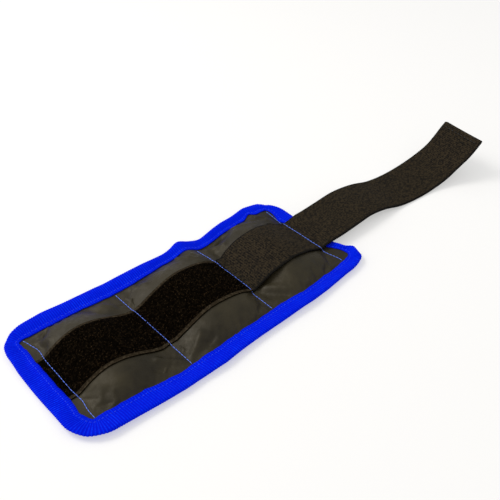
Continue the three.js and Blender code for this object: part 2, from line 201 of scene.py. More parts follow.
def stand_out(t, across, half, opening, outer, inner):
    """How far one edge's tables move a point sideways, fading out towards the cuff's middle."""
    in_tape = np.clip((t - opening) / (half - opening), 0, 1)
    edge = profile(across, inner) * (1 - in_tape) + profile(across, outer) * in_tape
    return edge * np.clip((t + opening) / (2 * opening), 0, 1) ** EDGE_FADE


def plan(u, v):
    """Where a point of the flat map lies, seen from above."""
    y = v + stand_out(v, u, HALF_WIDTH, OPEN_V, FAR_OUT, FAR_IN)
    y = y - stand_out(-v, u, HALF_WIDTH, OPEN_V, NEAR_OUT, NEAR_IN)
    right = smooth((u - END_SEAM) / END_REACH)
    left = smooth((-u - END_SEAM) / END_REACH)
    x = u + right * stand_out(u, v, HALF_LENGTH, OPEN_U, RIGHT_OUT, RIGHT_IN)
    x = x - left * stand_out(-u, v, HALF_LENGTH, OPEN_U, LEFT_OUT, LEFT_IN)
    for side, entries in END_SEAM_SHIFT.items():
        x = x + bell(u, side * END_SEAM, SEAM_REACH) * bumps(v, entries)
    return x - LEFT_FOLD_SHIFT * bell(u, -FOLD_U, LEFT_FOLD_REACH), y


def level(u, v):
    """Height of the seam level, midway between the covers where they are sewn together."""
    inward = np.minimum(HALF_LENGTH - np.abs(u), HALF_WIDTH - np.abs(v))
    edge = smooth(1 - inward / TAPE_WIDTH)
    z = NEUTRAL_Z - INNER_DROP + edge * (EDGE_FLARE + INNER_DROP)
    z = z + smooth((v - RISE_FROM) / RISE_OVER) * bumps(u, FAR_EDGE_RISE)
    z = z + smooth((-v - RISE_FROM) / RISE_OVER) * bumps(u, NEAR_EDGE_RISE)
    for cu, cv, height, width in CORNER_RISE:
        z = z + height * np.exp(-(((u - cu) / width) ** 2) - ((v - cv) / width) ** 2)
    for side, entries in FOLD_SEAM_RISE.items():
        z = z + bell(u, side * FOLD_U, FOLD_RISE_REACH) * bumps(v, entries)
    return np.maximum(z, UNDER_EDGE + HALF_SEAM)


def mid(u, v):
    x, y = plan(u, v)
    return np.stack([x, y, level(u, v)], -1)


# ---- Mesh tools ----


def placed(name, data=None):
    """A new object in the scene, or an empty where there is no data."""
    obj = bpy.data.objects.new(name, data)
    bpy.context.scene.collection.objects.link(obj)
    return obj


def mesh_of(name, points, faces):
    mesh = bpy.data.meshes.new(name)
    mesh.from_pydata(np.asarray(points).tolist(), [], [tuple(map(int, f)) for f in faces])
    return mesh


def table_top(name, half_x, half_y):
    corners = [(-half_x, -half_y, 0), (half_x, -half_y, 0), (half_x, half_y, 0), (-half_x, half_y, 0)]
    return mesh_of(name, corners, [(0, 1, 2, 3)])


def piece(name, points, faces, material, uv=None, normals=None):
    """A mesh piece from points in millimetres. uv holds one pair per point, in millimetres."""
    mesh = mesh_of(name, np.asarray(points) * MM, faces)
    mesh.update()
    mesh.shade_smooth()
    if uv is not None:
        layer = mesh.uv_layers.new(name="cloth")
        corners = np.zeros(len(mesh.loops), np.int32)
        mesh.loops.foreach_get("vertex_index", corners)
        layer.data.foreach_set("uv", np.asarray(uv, np.float32)[corners].ravel())
    if normals is not None:
        mesh.normals_split_custom_set_from_vertices(np.asarray(normals).tolist())
    mesh.materials.append(material)
    return placed(name, mesh)


def tie(obj, nodes, body=None, fold=None):
    """Hides the CAD nodes that a piece stands for, and hangs it on the body that it moves with. For a fold
    its transform is only baked into its mesh.
    """
    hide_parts(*nodes)
    if body:
        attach(obj, body)
    if fold:
        start, end = ((fold * (FOLD_U + reach) * MM, 0, NEUTRAL_Z * MM) for reach in (-BLEND, BLEND))
        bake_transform(obj)
        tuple(start)
        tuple(end)


def grid_faces(rows, columns, start=0, wrap=False):
    """Quads over a grid of points. wrap joins the last column to the first."""
    i, j = np.meshgrid(np.arange(rows - 1), np.arange(columns if wrap else columns - 1), indexing="ij")
    k = (j + 1) % columns
    quads = [i * columns + j, (i + 1) * columns + j, (i + 1) * columns + k, i * columns + k]
    return np.stack(quads, -1).reshape(-1, 4) + start


def shell_faces(rows, columns):
    """Two grids, one over the other, joined all round their borders."""
    border = [i * columns for i in range(rows)]
    border += [(rows - 1) * columns + j for j in range(1, columns)]
    border += [i * columns + columns - 1 for i in range(rows - 2, -1, -1)]
    border += [j for j in range(columns - 2, 0, -1)]
    a = np.array(border)
    b = np.roll(a, -1)
    count = rows * columns
    rim = np.stack([a, a + count, b + count, b], -1)
    return np.concatenate([grid_faces(rows, columns), grid_faces(rows, columns, count)[:, ::-1], rim])


def tube_faces(rings, sides):
    faces = [tuple(f) for f in grid_faces(rings, sides, wrap=True)]
    faces.append(tuple(range(sides)))
    faces.append(tuple(reversed([(rings - 1) * sides + k for k in range(sides)])))
    return faces


def small_tubes(name, points, sides, material):
    """Many small closed tubes as one piece. points goes by tube and by point of a tube."""
    count, size = points.shape[:2]
    single = tube_faces(size // sides, sides)
    faces = [tuple(i + size * n for i in f) for n in range(count) for f in single]
    return piece(name, points.reshape(-1, 3), faces, material)


def unit(vectors):
    return vectors / np.maximum(np.linalg.norm(vectors, axis=-1, keepdims=True), 1e-9)


def grid_normals(points):
    return unit(np.cross(np.gradient(points, axis=0), np.gradient(points, axis=1)))


def between(points, axis):
    """Doubles a grid's lines along one axis, with cubic interpolation."""
    p = np.moveaxis(points, axis, 0)
    ends = np.concatenate([2 * p[:1] - p[1:2], p, 2 * p[-1:] - p[-2:-1]])
    new = (9 * (p[:-1] + p[1:]) - ends[:-3] - ends[3:]) / 16
    out = np.empty((2 * len(p) - 1, *p.shape[1:]))
    out[0::2], out[1::2] = p, new
    return np.moveaxis(out, 0, axis)


def reach_of(line):
    """Distance along a line at each of its points."""
    return np.r_[0, np.cumsum(np.linalg.norm(np.diff(line, axis=0), axis=1))]


def along_line(distance, reach, line):
    """Points of a line at the given distances along it."""
    return np.stack([np.interp(distance, reach, axis) for axis in line.T], -1)


def pairs(first, second):
    """Every pairing of two lists of coordinates, as a grid of pairs."""
    return np.stack(np.meshgrid(first, second, indexing="ij"), -1)


# ---- The filled cuff ----

GRID_STEP = 2.6
SIM_SCALE = 0.01  # the simulation runs at ten times life size, where its solver is steadiest
SIM_FRAMES = 22
CLOTH = {
    "quality": 8, "mass": 0.3, "air_damping": 2, "tension_stiffness": 30, "compression_stiffness": 30,
    "shear_stiffness": 8, "bending_stiffness": 1.5, "use_pressure": True, "uniform_pressure_force": 5,
    "vertex_group_mass": "held", "vertex_group_shrink": "loop_side",
    "shrink_min": -0.035,  # slack in the skin side
    "shrink_max": -0.095,  # and more in the loop side, which domes
}
CROWN_FLATNESS, CROWN_ROUNDNESS = 2.4, 0.75
SKIN_DEPTH = 4  # how far the skin side may hang below the seams before it is blown up
SOFT_LOW = 0.8  # rounds off the foot of a crease
EVENING = 0.5  # keeps the filling's shift gentle where the cloth lies low
NEAR_TAPE = 3  # the covers rise to meet the binding over this far
NEAR = 0.01  # points this close to a seam are on it


def grid_lines(low, high, marks):
    stops = [low, *[m for m in marks if low < m < high], high]
    lines = [low]
    for a, b in zip(stops, stops[1:]):
        count = max(1, round((b - a) / GRID_STEP))
        lines += list(np.linspace(a, b, count + 1)[1:])
    return np.array(lines)


def across_fill(v):
    """1 along the cuff's middle line, 0 at the binding."""
    return (1 - np.clip(np.abs(v) / OPEN_V, 0, 1) ** CROWN_FLATNESS) ** CROWN_ROUNDNESS


def settled(sheet, base, u, v):
    """Shifts the filling along each pocket to where it has slumped, and keeps the cloth's creases."""
    height = sheet[..., 2] - base[..., 2] - HALF_SEAM
    middle = np.abs(v[0]) < HALF_STRIP
    mean = height[:, middle].mean(1) / across_fill(v[0][middle]).mean()
    factor = (profile(u[:, 0], FILL) + EVENING) / (np.maximum(mean, 0) + EVENING)
    risen = height * factor[:, None] + creases(u, v)
    softness = SOFT_LOW * smooth(from_seam(u, v) / SEAM_FADE)
    out = sheet.copy()
    out[..., 2] = base[..., 2] + HALF_SEAM + (risen + np.sqrt(risen**2 + softness**2)) / 2
    return out


def from_seam(u, v):
    """How far a point of a pocket is from its nearest seam."""
    from_cross_seam = FOLD_U - np.abs((u + END_SEAM) % (2 * FOLD_U) - FOLD_U)
    return np.minimum(OPEN_V - np.abs(v), from_cross_seam)


def creases(u, v):
    """Soft folds drawn in beside the seams' ends."""
    total = np.zeros_like(u)
    for u0, v0, u1, v1, height, width in CREASES:
        du, dv = u1 - u0, v1 - v0
        t = np.clip(((u - u0) * du + (v - v0) * dv) / (du**2 + dv**2), 0, 1)
        total += height * np.exp(-((u - u0 - t * du) ** 2 + (v - v0 - t * dv) ** 2) / width**2)
    return CREASE_STRENGTH * total * smooth(from_seam(u, v) / SEAM_FADE) * (np.abs(u) < END_SEAM)


def round_corners(u, v):
    """Draws the corners of a grid in, so that they keep inside the binding's rounded corners."""
    for (su, sv), outer in CORNER_RADIUS.items():
        radius = outer - RAW_INSET
        du = np.maximum(su * u - (HALF_LENGTH - outer), 0)
        dv = np.maximum(sv * v - (HALF_WIDTH - outer), 0)
        both = (du > 0) & (dv > 0)
        nu = du * np.sqrt(1 - dv**2 / (2 * radius**2))
        nv = dv * np.sqrt(1 - du**2 / (2 * radius**2))
        u = np.where(both, u - su * (du - nu), u)
        v = np.where(both, v - sv * (dv - nv), v)
    return u, v


def filled_cuff():
    """Grid lines u and v, and the outer faces of the loop-side and skin-side covers."""
    end_u, end_v = HALF_LENGTH - RAW_INSET, HALF_WIDTH - RAW_INSET
    us = grid_lines(-end_u, end_u, [-OPEN_U, -END_SEAM, -FOLD_U, 0, FOLD_U, END_SEAM, OPEN_U])
    vs = grid_lines(-end_v, end_v, [-OPEN_V, 0, OPEN_V])
    u, v = np.meshgrid(us, vs, indexing="ij")
    base = mid(*round_corners(u, v))
    crown = profile(u, FILL) * across_fill(v)
    top, bottom = base.copy(), base.copy()
    top[..., 2] += HALF_SEAM + crown
    bottom[..., 2] = np.maximum(bottom[..., 2] - HALF_SEAM - np.minimum(SKIN_DEPTH, crown), TABLE_GAP)
    pinned = (np.abs(u) > END_SEAM - NEAR) | (np.abs(v) > OPEN_V - NEAR)
    pinned |= np.abs(np.abs(u) - FOLD_U) < NEAR
    top, bottom = simulate(top, bottom, pinned)
    top = settled(top, base, u, v)
    near_tape = smooth(1 - np.minimum(OPEN_V - np.abs(v), OPEN_U - np.abs(u)) / NEAR_TAPE)
    bottom[..., 2] = np.maximum(bottom[..., 2], TABLE_GAP + (UNDER_EDGE - TABLE_GAP) * near_tape)
    return us, vs, top, bottom


def simulate(top, bottom, pinned):
    """Blows the pockets up against their seams with Blender's cloth, over a table."""
    rows, columns = pinned.shape
    half = rows * columns
    points = np.concatenate([top.reshape(-1, 3), bottom.reshape(-1, 3)])
    cuff = placed("cuff_cloth", mesh_of("cuff_cloth", points * SIM_SCALE, shell_faces(rows, columns)))
    table = placed("sim_table", table_top("sim_table", 4, 3))
    table.modifiers.new("collision", "COLLISION")
    table.collision.thickness_outer = 0.002
    held = cuff.vertex_groups.new(name="held")
    held.add([int(i) for i in np.nonzero(np.tile(pinned.ravel(), 2))[0]], 1.0, "REPLACE")
    loop_side = cuff.vertex_groups.new(name="loop_side")
    loop_side.add(list(range(half)), 1.0, "REPLACE")
    modifier = cuff.modifiers.new("cloth", "CLOTH")
    cloth = modifier.settings
    for key, value in CLOTH.items():
        setattr(cloth, key, value)
    cloth.effector_weights.gravity = 0
    modifier.collision_settings.distance_min = 0.003
    modifier.collision_settings.use_self_collision = False
    modifier.point_cache.frame_end = SIM_FRAMES
    for number in range(1, SIM_FRAMES + 1):
        bpy.context.scene.frame_set(number)
    done = cuff.evaluated_get(bpy.context.evaluated_depsgraph_get())
    flat = np.zeros(len(points) * 3)
    done.data.vertices.foreach_get("co", flat)
    result = flat.reshape(2, rows, columns, 3) / SIM_SCALE
    bpy.data.objects.remove(cuff)
    bpy.data.objects.remove(table)
    bpy.context.scene.frame_set(1)
    return result[0], result[1]


class Sheet:
    """A surface over the flat map that can be asked for the point at any u and v."""

    def __init__(self, us, vs, points, normals=None):
        self.us, self.vs, self.points = us, vs, points
        self.normals = grid_normals(points) if normals is None else normals

    def _mix(self, values, u, v):
        u, v = np.asarray(u, float), np.asarray(v, float)
        i = np.clip(np.searchsorted(self.us, u) - 1, 0, len(self.us) - 2)
        j = np.clip(np.searchsorted(self.vs, v) - 1, 0, len(self.vs) - 2)
        a = np.clip((u - self.us[i]) / (self.us[i + 1] - self.us[i]), 0, 1)[..., None]
        b = np.clip((v - self.vs[j]) / (self.vs[j + 1] - self.vs[j]), 0, 1)[..., None]
        low = values[i, j] * (1 - a) + values[i + 1, j] * a
        high = values[i, j + 1] * (1 - a) + values[i + 1, j + 1] * a
        return low * (1 - b) + high * b

    def at(self, u, v):
        return self._mix(self.points, u, v)

    def normal(self, u, v):
        return unit(self._mix(self.normals, u, v))


# ---- Materials ----


class Nodes:
    """A material under construction, with a short way to add and join its nodes."""

    def __init__(self, name):
        self.material = bpy.data.materials.new(name)
        self.material.use_nodes = True
        self.tree = self.material.node_tree
        self.shader = self.tree.nodes["Principled BSDF"]

    def add(self, kind, inputs=None, **settings):
        node = self.tree.nodes.new(kind)
        for key, value in settings.items():
            setattr(node, key, value)
        for key, value in (inputs or {}).items():
            self.put(node, key, value)
        return node

    def put(self, node, key, value):
        socket = node.inputs[key]
        if isinstance(value, bpy.types.NodeSocket):
            self.tree.links.new(value, socket)
        elif socket.type == "RGBA":
            socket.default_value = (*value, 1.0)
        else:
            socket.default_value = value

    def finish(self, colour, roughness, normal=None, **more):
        """Sets the shader's inputs and hands over the material."""
        self.put(self.shader, "Base Color", colour)
        self.put(self.shader, "Roughness", roughness)
        if normal is not None:
            self.put(self.shader, "Normal", normal)
        for key, value in more.items():
            self.put(self.shader, key.replace("_", " "), value)
        return self.material

    def place(self):
        return self.add("ShaderNodeTexCoord").outputs["Object"]

    def cloth_parts(self):
        """The cloth's own coordinates, in millimetres: X along it, Y across it."""
        vector = self.add("ShaderNodeUVMap", uv_map="cloth").outputs["UV"]
        return self.add("ShaderNodeSeparateXYZ", {"Vector": vector}).outputs

    def noise(self, scale, detail=3.0, roughness=0.5):
        inputs = {"Vector": self.place(), "Scale": scale, "Detail": detail, "Roughness": roughness}
        return self.add("ShaderNodeTexNoise", inputs).outputs["Fac"]

    def math(self, operation, a, b=0.0):
        node = self.add("ShaderNodeMath", operation=operation)
        self.put(node, 0, a)
        self.put(node, 1, b)
        return node.outputs[0]

    def times(self, a, b):
        return self.math("MULTIPLY", a, b)

    def ramp(self, value, low, high, to_low=0.0, to_high=1.0):
        inputs = {"Value": value, "From Min": low, "From Max": high, "To Min": to_low, "To Max": to_high}
        return self.add("ShaderNodeMapRange", inputs).outputs["Result"]

    def mix(self, factor, dark, light):
        node = self.add("ShaderNodeMix", data_type="RGBA")
        for key, value in ((0, factor), (6, dark), (7, light)):
            self.put(node, key, value)
        return node.outputs[2]

    def bump(self, height, distance, strength=1.0, normal=None):
        inputs = {"Height": height, "Distance": distance * MM, "Strength": strength}
        if normal is not None:
            inputs["Normal"] = normal
        return self.add("ShaderNodeBump", inputs).outputs["Normal"]

    def ribs(self, pitch):
        """A wave along the cloth: 1 on each rib, -1 between ribs."""
        return self.math("COSINE", self.times(self.cloth_parts()["X"], 2 * math.pi / pitch))

    def weave(self, pitch_u, pitch_v):
        """Over-and-under height of a plain weave."""
        parts = self.cloth_parts()
        warp = self.math("SINE", self.times(parts["X"], 2 * math.pi / pitch_u))
        weft = self.math("SINE", self.times(parts["Y"], 2 * math.pi / pitch_v))
        return self.times(warp, weft)


def cover_cloth():
    n = Nodes("cover_cloth")
    mottle = n.ramp(n.noise(38, 4), 0.3, 0.7)
    colour = n.mix(mottle, (0.0090, 0.0072, 0.0031), (0.0252, 0.0202, 0.0094))
    creased = n.bump(n.noise(75, 3, roughness=0.45), 2.2, 0.5)
    threads = n.bump(n.weave(0.55, 0.55), 0.03, 0.6, creased)
    rough = n.ramp(n.noise(300, 2), 0.3, 0.7, 0.42, 0.56)
    return n.finish(colour, rough, threads, Specular_IOR_Level=0.26, Specular_Tint=(1.0, 0.93, 0.8))


def binding_tape():
    n = Nodes("binding_tape")
    # painted highlight on the ribs' crests and painted shade in the hollows between them; one noise makes
    # the highlight stronger in patches
    patchy = n.ramp(n.noise(60, 3), 0.45, 0.75)
    crest = n.times(n.ramp(n.ribs(1.0), -0.2, 1.0), n.ramp(n.noise(700, 2), 0.25, 0.7))
    shade = n.math("ADD", n.times(crest, 0.55), n.times(n.times(crest, patchy), 0.6))
    colour = n.mix(shade, (0.0001, 0.006, 0.58), (0.001, 0.045, 1.0))
    fibres = n.bump(n.noise(2500, 3), 0.06, 0.5, n.bump(n.noise(1400, 3), 0.08, 0.7))
    return n.finish(colour, 0.6, fibres, Specular_IOR_Level=0.05, Specular_Tint=(0.1, 0.25, 1.0))


def elastic_webbing():
    n = Nodes("elastic_webbing")
    grain = n.ramp(n.noise(540, 2), 0.42, 0.58)
    # painted highlight on the ribs' crests and painted shade in the hollows between them, mixed with random
    # grain
    crest = n.ramp(n.ribs(STRAP_RIB_PITCH), -0.6, 0.9)
    # painted shade: the strap's colour darkens towards both of its edges
    from_middle = n.math("ABSOLUTE", n.cloth_parts()["Y"])
    edge = n.ramp(from_middle, HALF_STRIP - 1.2, HALF_STRIP - 0.4, 1.0, 0.15)
    shade = n.times(n.math("ADD", n.times(grain, 0.66), n.times(crest, 0.34)), edge)
    colour = n.mix(shade, (0.0006, 0.0004, 0.0001), (0.0300, 0.0210, 0.0098))
    fibres = n.bump(n.noise(2200, 3), 0.08, 0.6, n.bump(n.weave(STRAP_RIB_PITCH, 1.1), 0.10, 0.8))
    return n.finish(colour, 0.8, fibres, Specular_IOR_Level=0.12)


def loop_tape(name, dark, light):
    n = Nodes(name)
    # light specks through the dark colour; on the pile they are painted glints of fibres catching the light
    colour = n.mix(n.ramp(n.noise(560, 2), 0.50, 0.64), dark, light)
    fibres = n.bump(n.noise(1800, 4), 0.2, 0.7)
    return n.finish(colour, 0.9, fibres, Specular_IOR_Level=0.03, Specular_Tint=(1.0, 0.65, 0.3))


def mottled(name, dark, light, roughness, noise, grain, depth):
    """Two shades mixed by one noise, with another for the surface."""
    n = Nodes(name)
    return n.finish(n.mix(n.noise(*noise), dark, light), roughness, n.bump(n.noise(*grain), depth))


def sewing_thread(name, dark, light):
    return mottled(name, dark, light, 0.55, (3000, 2), (3000, 2), 0.05)


def iron_sand():
    n = Nodes("iron_sand")
    cells = n.add("ShaderNodeTexVoronoi", {"Vector": n.place(), "Scale": 1600.0}).outputs["Distance"]
    colour = n.mix(cells, (0.03, 0.027, 0.025), (0.12, 0.11, 0.10))
    return n.finish(colour, 0.6, n.bump(cells, 0.4), Metallic=0.5)


COVER = cover_cloth()
BINDING = binding_tape()
ELASTIC = elastic_webbing()
LOOP_BASE = loop_tape("loop_base", (0.0006, 0.0004, 0.0002), (0.005, 0.0035, 0.002))
# lighter tops of the woven edges: partly their own colour, partly painted light
LOOP_EDGE = loop_tape("loop_selvedge", (0.020, 0.015, 0.009), (0.045, 0.035, 0.022))
# its light colour is painted glints on the pile's fibres
LOOP_PILE = loop_tape("loop_pile", (0.0004, 0.0002, 0.0001), (0.072, 0.045, 0.022))
SEAM_THREAD = sewing_thread("seam_thread", (0.06, 0.15, 0.80), (0.17, 0.30, 1.0))
BLUE_THREAD = sewing_thread("binding_thread", (0.001, 0.020, 0.70), (0.010, 0.085, 1.0))
BLACK_THREAD = sewing_thread("black_thread", (0.0010, 0.0008, 0.0006), (0.0030, 0.0025, 0.0020))
HOOK = mottled("hook_plastic", (0.010, 0.009, 0.008), (0.02, 0.018, 0.016), 0.45, (800, 2), (3000,), 0.03)
FILM = mottled("liner_film", (0.42, 0.43, 0.43), (0.56, 0.57, 0.57), 0.4, (60, 4), (200, 5), 0.4)
SAND = iron_sand()

# ---- Covers ----


def cover_half(face, word, sheet, outward):
    """One cover from the cuff's middle to one end, as cloth with a real thickness."""
    side = SIDES[word]
    points = between(between(sheet.points, 0), 1)
    normals = grid_normals(points) * outward
    fine_u = between(sheet.us[:, None], 0)[:, 0]
    fine_v = between(sheet.vs[:, None], 0)[:, 0]
    keep = side * fine_u >= -NEAR
    outer, facing = points[keep], normals[keep]
    faces = shell_faces(*outer.shape[:2])
    if outward < 0:
        faces = faces[:, ::-1]
    uv = pairs(fine_u[keep], fine_v).reshape(-1, 2)
    both = np.concatenate([outer, outer - facing * SHEET]).reshape(-1, 3)
    pointing = np.concatenate([facing, -facing]).reshape(-1, 3)
    obj = piece(f"{face}_cover_{word}_cloth", both, faces, COVER, uv=np.tile(uv, (2, 1)), normals=pointing)
    tie(obj, [f"{face}_cover_{word}", f"{face}_cover_middle"], fold=side)


us, vs, top_points, bottom_points = filled_cuff()
top = Sheet(us, vs, top_points)
bottom = Sheet(us, vs, bottom_points)
for word in SIDES:
    cover_half("outer", word, top, 1)
    cover_half("inner", word, bottom, -1)

# ---- Liner bags and their fill ----

LINER_INSET = 1.2
LINER_FILM = 0.4
SAND_INSET = 2.0
FILL_MARGIN = 9.0  # the bag stops this far from the binding
LEAST_ROOM = 5.5  # and where the pocket gets lower than this
LEAST_FILL = 0.15
STEEPEST = 0.4  # upward part of a cover's normal on the steepest slope the bag follows


def pillow(side, depth):
    """The closed space inside a pocket, drawn in from its covers, where there is room for it."""
    span = np.linspace(-FOLD_U, FOLD_U, 200) + side * 2 * FOLD_U
    span = span[profile(span, FILL) > LEAST_ROOM]
    u = np.linspace(span[0] + depth, span[-1] - depth, 40)
    v = np.linspace(-OPEN_V + FILL_MARGIN + depth, OPEN_V - FILL_MARGIN - depth, 44)
    u, v = np.meshgrid(u, v, indexing="ij")
    high, low = top.at(u, v), bottom.at(u, v)
    upper = high[..., 2] - (SHEET + depth) / np.maximum(top.normal(u, v)[..., 2], STEEPEST)
    lower = low[..., 2] + (SHEET + depth) / np.maximum(bottom.normal(u, v)[..., 2], STEEPEST)
    centre = (upper + lower) / 2
    half = np.maximum((upper - lower) / 2, LEAST_FILL / depth)
    high[..., 2], low[..., 2] = centre + half, centre - half
    return np.concatenate([high, low]).reshape(-1, 3), shell_faces(*u.shape)


def filling(word, side):
    outside, faces = pillow(side, LINER_INSET)
    inside, _ = pillow(side, LINER_INSET + LINER_FILM)
    walls = np.concatenate([faces, faces[:, ::-1] + len(outside)])
    bag = piece(f"liner_bag_{word}_film", np.concatenate([outside, inside]), walls, FILM)
    sand = piece(f"iron_sand_{word}_grains", *pillow(side, SAND_INSET), SAND)
    tie(bag, [f"liner_bag_{word}"], body=f"{word}_pocket")
    tie(sand, [f"iron_sand_{word}"], body=f"{word}_pocket")


for word, side in (("left", -1), ("middle", 0), ("right", 1)):
    filling(word, side)

# ---- Binding ----

RIB_DEPTH = 0.24
OVER_STRIP = 0.7  # extra height of the binding where the loop strip runs under it
TAPE_GAP = 0.1  # between the tape and the cover under it
TAPE_BULGE = 0.25
TURN = 0.14  # share of the tape's width where it turns over the covers' edge
TURN_PINCH = 0.55  # its thickness at the turn, against its full one
EDGE_WAVER = 0.35  # how much the inner edge wanders
OUTERMOST = 0.06  # share of its width where its last row lies, beside the turn's tip
LIES_FROM, LIES_OVER = 0.45, 0.5  # shares of the width where the tape comes down on the cover
BESIDE_STRIP, STRIP_FADE = 7, 8  # and how far beside the loop strip it comes down again
LEAST_RIB = 0.35  # where the ribs are most worn
INNER_RIB = 0.3  # and along the inner edge


def quarter(cu, cv, radius, count):
    angle = np.linspace(0, math.pi / 2, count)
    return [(cu + radius * math.sin(a), cv + radius * math.cos(a)) for a in angle]


def evened(line, count):
    """The same line with its points evenly spaced."""
    line = np.array(line)
    reach = reach_of(line)
    return along_line(np.linspace(0, reach[-1], count), reach, line)


def corner_path(su, sv, radius):
    """The outer edge round one corner and the inner edge beside it, as matched pairs of map points."""
    cu, cv = HALF_LENGTH - radius, HALF_WIDTH - radius
    ru, rv = OPEN_U - INNER_CORNER, OPEN_V - INNER_CORNER
    first, last = min(cu, ru), min(cv, rv)
    outer = [(first, HALF_WIDTH), *quarter(cu, cv, radius, 30), (HALF_LENGTH, last)]
    inner = [(first, OPEN_V), *quarter(ru, rv, INNER_CORNER, 12), (OPEN_U, last)]
    return tuple(evened(line, 40) * (su, sv) for line in (outer, inner))


def half_outline(side):
    """Matched outer and inner points of the binding from the middle of the far side, round one end,
    to the middle of the near side."""
    far_outer, far_inner = corner_path(side, 1, CORNER_RADIUS[(side, 1)])
    near_outer, near_inner = corner_path(side, -1, CORNER_RADIUS[(side, -1)])
    outer = np.concatenate([[[0, HALF_WIDTH]], far_outer, near_outer[::-1], [[0, -HALF_WIDTH]]])
    inner = np.concatenate([[[0, OPEN_V]], far_inner, near_inner[::-1], [[0, -OPEN_V]]])
    reach = reach_of((outer * 2 + inner) / 3)
    ribs = round(reach[-1] / RIB_PITCH)
    along = np.linspace(0, reach[-1], ribs * STATIONS_PER_RIB + 1)
    return along, along_line(along, reach, outer), along_line(along, reach, inner), reach[-1] / ribs


def waver(along, seed):
    """A gentle irregular wave, the same on every run."""
    phase = np.random.default_rng(seed).uniform(0, 2 * math.pi, 4)
    waves = [(19.0, 0.5), (11.0, 0.3), (31.0, 0.6), (6.7, 0.15)]
    return sum(a * np.sin(2 * math.pi * along / p + f) for (p, a), f in zip(waves, phase))


def tape_face(sheet, sign, side, across, base, inner):
    """One face of the binding: pinched where it turns over the edge, and lying on the cover inside."""
    lift = HALF_SEAM + TAPE + TAPE_GAP + TAPE_BULGE * np.sin(math.pi * across) ** 2
    turn = np.sqrt(np.clip(across / TURN, 0, 1))
    height = base[..., 2] + sign * lift * (TURN_PINCH + (1 - TURN_PINCH) * turn)
    over_strip = smooth((HALF_STRIP + BESIDE_STRIP - np.abs(inner[:, 1])) / STRIP_FADE)
    over_strip *= side < 0 < sign
    cover = sheet.at(inner[:, 0], inner[:, 1])[:, 2]
    lying = (cover + sign * (TAPE + TAPE_GAP) + OVER_STRIP * over_strip)[:, None]
    weight = smooth((across - LIES_FROM) / LIES_OVER)
    height = height * (1 - weight) + lying * weight
    if sign < 0:
        height = np.maximum(height, TABLE_GAP + RIB_DEPTH)
    return np.concatenate([base[..., :2], height[..., None]], -1)


def binding_nodes(word):
    return [f"binding_{word}_end", "binding_middle_far", "binding_middle_near"]


def binding_half(word):
    side = SIDES[word]
    along, outer, inner, pitch = half_outline(side)
    inner = inner + (outer - inner) / TAPE_WIDTH * waver(along, 3 + side)[:, None] * EDGE_WAVER
    across = np.r_[np.linspace(1, TURN, 9), OUTERMOST]
    share = across[:, None]
    u, v = np.moveaxis(outer[:, None] * (1 - share) + inner[:, None] * share, -1, 0)
    base = mid(u, v)
    high = tape_face(top, 1, side, across, base, inner)
    low = tape_face(bottom, -1, side, across, base, inner)
    skin = np.concatenate([high, mid(*outer.T)[:, None], low[:, ::-1]], 1)
    facing = grid_normals(skin)
    facing *= np.sign(facing[:, 3, 2].mean())
    patchy = np.clip(0.75 + 0.25 * waver(along, 20 + side), LEAST_RIB, 1)
    rib = RIB_DEPTH * patchy * np.cos(2 * math.pi * along / pitch)
    fade = np.ones((skin.shape[1], 1))
    fade[0] = fade[-1] = INNER_RIB
    skin = skin + facing * rib[:, None, None] * fade
    ring = np.concatenate([skin, (skin - facing * TAPE)[:, ::-1]], 1)
    faces = tube_faces(*ring.shape[:2])
    if side < 0:
        faces = [tuple(reversed(f)) for f in faces]
    width = reach_of(skin[0])
    uv = pairs(along / pitch, np.r_[width, width[::-1]]).reshape(-1, 2)
    obj = piece(f"binding_{word}_tape", ring.reshape(-1, 3), faces, BINDING, uv=uv)
    tie(obj, binding_nodes(word), fold=side)
    return skin, facing


bindings = {word: binding_half(word) for word in SIDES}

# ---- Webbing: strips with a real thickness, rounded edges and cross ribs ----

EDGE_POINTS = 3
SAG = 0.5  # how much lower a strip's edges lie than its middle
STIFFNESS = 1.6  # a strip evens out its bends over about this far


def ribbon_rings(middle, half, rib=0.0, edge_rib=0.0):
    """Closed rings round a strip whose middle surface is given. The ribs' heights go by station."""
    facing = grid_normals(middle)
    across = unit(np.gradient(middle, axis=1))
    swell, edge_swell = (np.broadcast_to(half + ribs, len(middle))[:, None] for ribs in (rib, edge_rib))
    high = middle + facing * swell[..., None]
    low = middle - facing * swell[..., None]
    rounds = []
    for end, sign in ((-1, 1), (0, -1)):
        angle = np.linspace(0, math.pi, EDGE_POINTS + 2)[1:-1][::sign]
        out = sign * across[:, None, end] * (np.sin(angle) * edge_swell)[..., None]
        up = facing[:, None, end] * (np.cos(angle) * half)[:, None]
        rounds.append(middle[:, None, end] + out + up)
    return np.concatenate([high, rounds[0], low[:, ::-1], rounds[1]], 1)


def ring_normals(rings):
    around = np.roll(rings, -1, 1) - np.roll(rings, 1, 1)
    return unit(np.cross(np.gradient(rings, axis=0), around))


